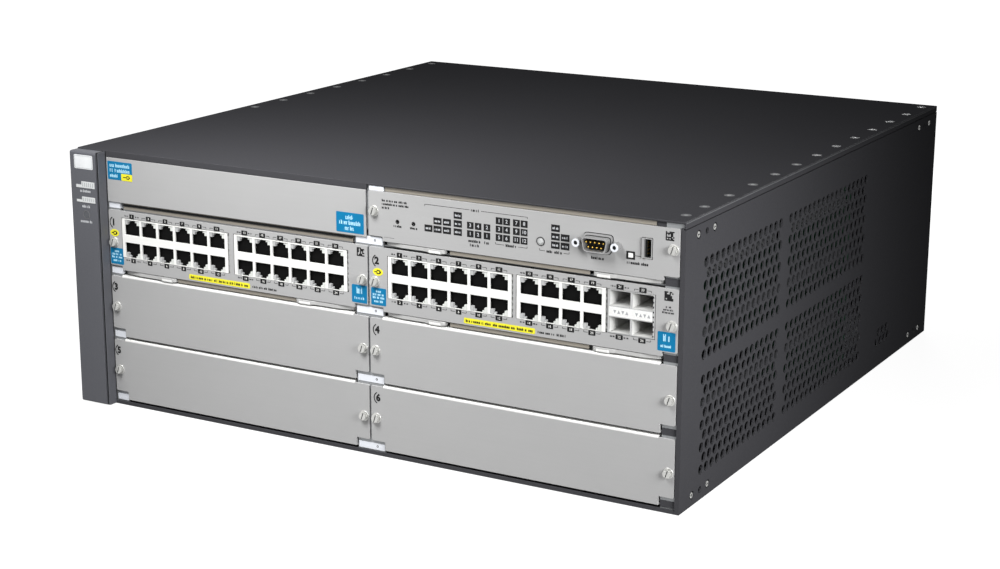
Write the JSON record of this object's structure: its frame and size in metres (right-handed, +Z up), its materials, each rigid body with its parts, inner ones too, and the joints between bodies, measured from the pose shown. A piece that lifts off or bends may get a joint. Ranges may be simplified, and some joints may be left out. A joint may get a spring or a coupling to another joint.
{
  "type": "modular chassis switch",
  "caption": "Rack-mount modular network switch: two columns of module slots, a management module, a side fan tray and rear power supplies, all sliding out.",
  "frame": {"origin": "centre of the chassis box's footprint, on the underside of the base pan", "axes": "+X to the right seen from the front, +Y towards the rear, +Z up"},
  "size_m": [0.4444, 0.482, 0.1753],
  "materials": {
    "dark_paint": "fine textured powder coat",
    "zinc": "zinc plated sheet",
    "silver_face": "satin silver paint",
    "grey_plastic": "moulded, fine texture",
    "white_label": "bare plate",
    "clear_lens": "milky light pipe",
    "guide_plastic": "moulded",
    "black_plastic": "moulded",
    "circuit_board": "solder mask",
    "bright_shield": "nickel plated shield",
    "screw_steel": "nickel plated"
  },
  "bodies": {
    "chassis": {"base_pan": "dark_paint", "top_cover": "dark_paint", "side_panel_right": "dark_paint", "side_panel_left": "dark_paint", "rear_panel": "dark_paint", "right_front_bracket": "dark_paint", "fan_partition": "dark_paint", "centre_divider": "zinc", "upper_shelf": "zinc", "slot_crossbars": "zinc", "power_shelf": "zinc", "upper_left_panel": "silver_face", "card_guides": "guide_plastic", "midplane_board": "circuit_board", "midplane_sockets": "black_plastic", "led_bezel": "grey_plastic", "badge_plate": "white_label", "status_lenses": "clear_lens", "slot_cover_3": "silver_face", "slot_cover_4": "silver_face", "slot_cover_5": "silver_face", "slot_cover_6": "silver_face", "slot_cover_screws": "screw_steel"},
    "fan_tray": {"fan_tray_frame": "zinc", "fan_frames": "black_plastic"},
    "power_supply_1": {"power_supply_1": "zinc", "power_inlet_1": "black_plastic"},
    "power_supply_2": {"power_supply_2": "zinc", "power_inlet_2": "black_plastic"},
    "management_module": {"management_faceplate": "silver_face", "management_board": "circuit_board", "status_display": "black_plastic", "console_port": "bright_shield", "console_jackscrews": "bright_shield", "usb_port": "bright_shield", "management_screws": "screw_steel"},
    "port_module_1": {"port_module_1_faceplate": "silver_face", "port_module_1_board": "circuit_board", "jack_bank_1a": "bright_shield", "jack_bank_1b": "bright_shield", "port_module_1_screws": "screw_steel"},
    "port_module_2": {"port_module_2_faceplate": "silver_face", "port_module_2_board": "circuit_board", "jack_bank_2a": "bright_shield", "jack_bank_2b": "bright_shield", "transceiver_cage": "bright_shield", "port_module_2_screws": "screw_steel"},
    "fan_rotor_1": {"fan_rotor_1": "black_plastic"},
    "fan_rotor_2": {"fan_rotor_2": "black_plastic"},
    "fan_rotor_3": {"fan_rotor_3": "black_plastic"},
    "fan_rotor_4": {"fan_rotor_4": "black_plastic"},
    "mode_button": {"mode_button": "guide_plastic"},
    "reset_button": {"reset_button": "guide_plastic"},
    "clear_button": {"clear_button": "guide_plastic"},
    "management_lever_left": {"management_lever_left": "zinc"},
    "management_lever_right": {"management_lever_right": "zinc"},
    "port_module_1_lever_left": {"port_module_1_lever_left": "zinc"},
    "port_module_1_lever_right": {"port_module_1_lever_right": "zinc"},
    "port_module_2_lever_left": {"port_module_2_lever_left": "zinc"},
    "port_module_2_lever_right": {"port_module_2_lever_right": "zinc"}
  },
  "joints": [
    {"name": "management_slide", "type": "slide", "parent": "chassis", "child": "management_module", "axis": [0, -1, 0], "range_m": [0, 0.25]},
    {"name": "port_module_1_slide", "type": "slide", "parent": "chassis", "child": "port_module_1", "axis": [0, -1, 0], "range_m": [0, 0.25]},
    {"name": "port_module_2_slide", "type": "slide", "parent": "chassis", "child": "port_module_2", "axis": [0, -1, 0], "range_m": [0, 0.25]},
    {"name": "fan_tray_slide", "type": "slide", "parent": "chassis", "child": "fan_tray", "axis": [0, 1, 0], "range_m": [0, 0.38]},
    {"name": "power_supply_1_slide", "type": "slide", "parent": "chassis", "child": "power_supply_1", "axis": [0, 1, 0], "range_m": [0, 0.15]},
    {"name": "power_supply_2_slide", "type": "slide", "parent": "chassis", "child": "power_supply_2", "axis": [0, 1, 0], "range_m": [0, 0.15]},
    {"name": "mode_press", "type": "slide", "parent": "management_module", "child": "mode_button", "axis": [0, 1, 0], "range_m": [0, 0.0012], "stiffness_N_per_m": 250},
    {"name": "reset_press", "type": "slide", "parent": "management_module", "child": "reset_button", "axis": [0, 1, 0], "range_m": [0, 0.0012], "stiffness_N_per_m": 250},
    {"name": "clear_press", "type": "slide", "parent": "management_module", "child": "clear_button", "axis": [0, 1, 0], "range_m": [0, 0.0012], "stiffness_N_per_m": 250},
    {"name": "management_lever_left_swing", "type": "hinge", "parent": "management_module", "child": "management_lever_left", "pos_m": [0.02375, -0.21945, 0.1384], "axis": [0, 0, -1], "range_deg": [0, 55]},
    {"name": "management_lever_right_swing", "type": "hinge", "parent": "management_module", "child": "management_lever_right", "pos_m": [0.204, -0.21945, 0.1384], "axis": [0, 0, 1], "range_deg": [0, 55]},
    {"name": "port_module_1_lever_left_swing", "type": "hinge", "parent": "port_module_1", "child": "port_module_1_lever_left", "pos_m": [-0.1832, -0.21945, 0.0934], "axis": [0, 0, -1], "range_deg": [0, 55]},
    {"name": "port_module_1_lever_right_swing", "type": "hinge", "parent": "port_module_1", "child": "port_module_1_lever_right", "pos_m": [-0.0072, -0.21945, 0.0934], "axis": [0, 0, 1], "range_deg": [0, 55]},
    {"name": "port_module_2_lever_left_swing", "type": "hinge", "parent": "port_module_2", "child": "port_module_2_lever_left", "pos_m": [0.02375, -0.21945, 0.0934], "axis": [0, 0, -1], "range_deg": [0, 55]},
    {"name": "port_module_2_lever_right_swing", "type": "hinge", "parent": "port_module_2", "child": "port_module_2_lever_right", "pos_m": [0.204, -0.21945, 0.0934], "axis": [0, 0, 1], "range_deg": [0, 55]},
    {"name": "fan_1_spin", "type": "hinge", "parent": "fan_tray", "child": "fan_rotor_1", "pos_m": [-0.212, -0.14, 0.049], "axis": [1, 0, 0], "continuous": true},
    {"name": "fan_2_spin", "type": "hinge", "parent": "fan_tray", "child": "fan_rotor_2", "pos_m": [-0.212, -0.14, 0.12], "axis": [1, 0, 0], "continuous": true},
    {"name": "fan_3_spin", "type": "hinge", "parent": "fan_tray", "child": "fan_rotor_3", "pos_m": [-0.212, -0.01, 0.049], "axis": [1, 0, 0], "continuous": true},
    {"name": "fan_4_spin", "type": "hinge", "parent": "fan_tray", "child": "fan_rotor_4", "pos_m": [-0.212, -0.01, 0.12], "axis": [1, 0, 0], "continuous": true}
  ]
}
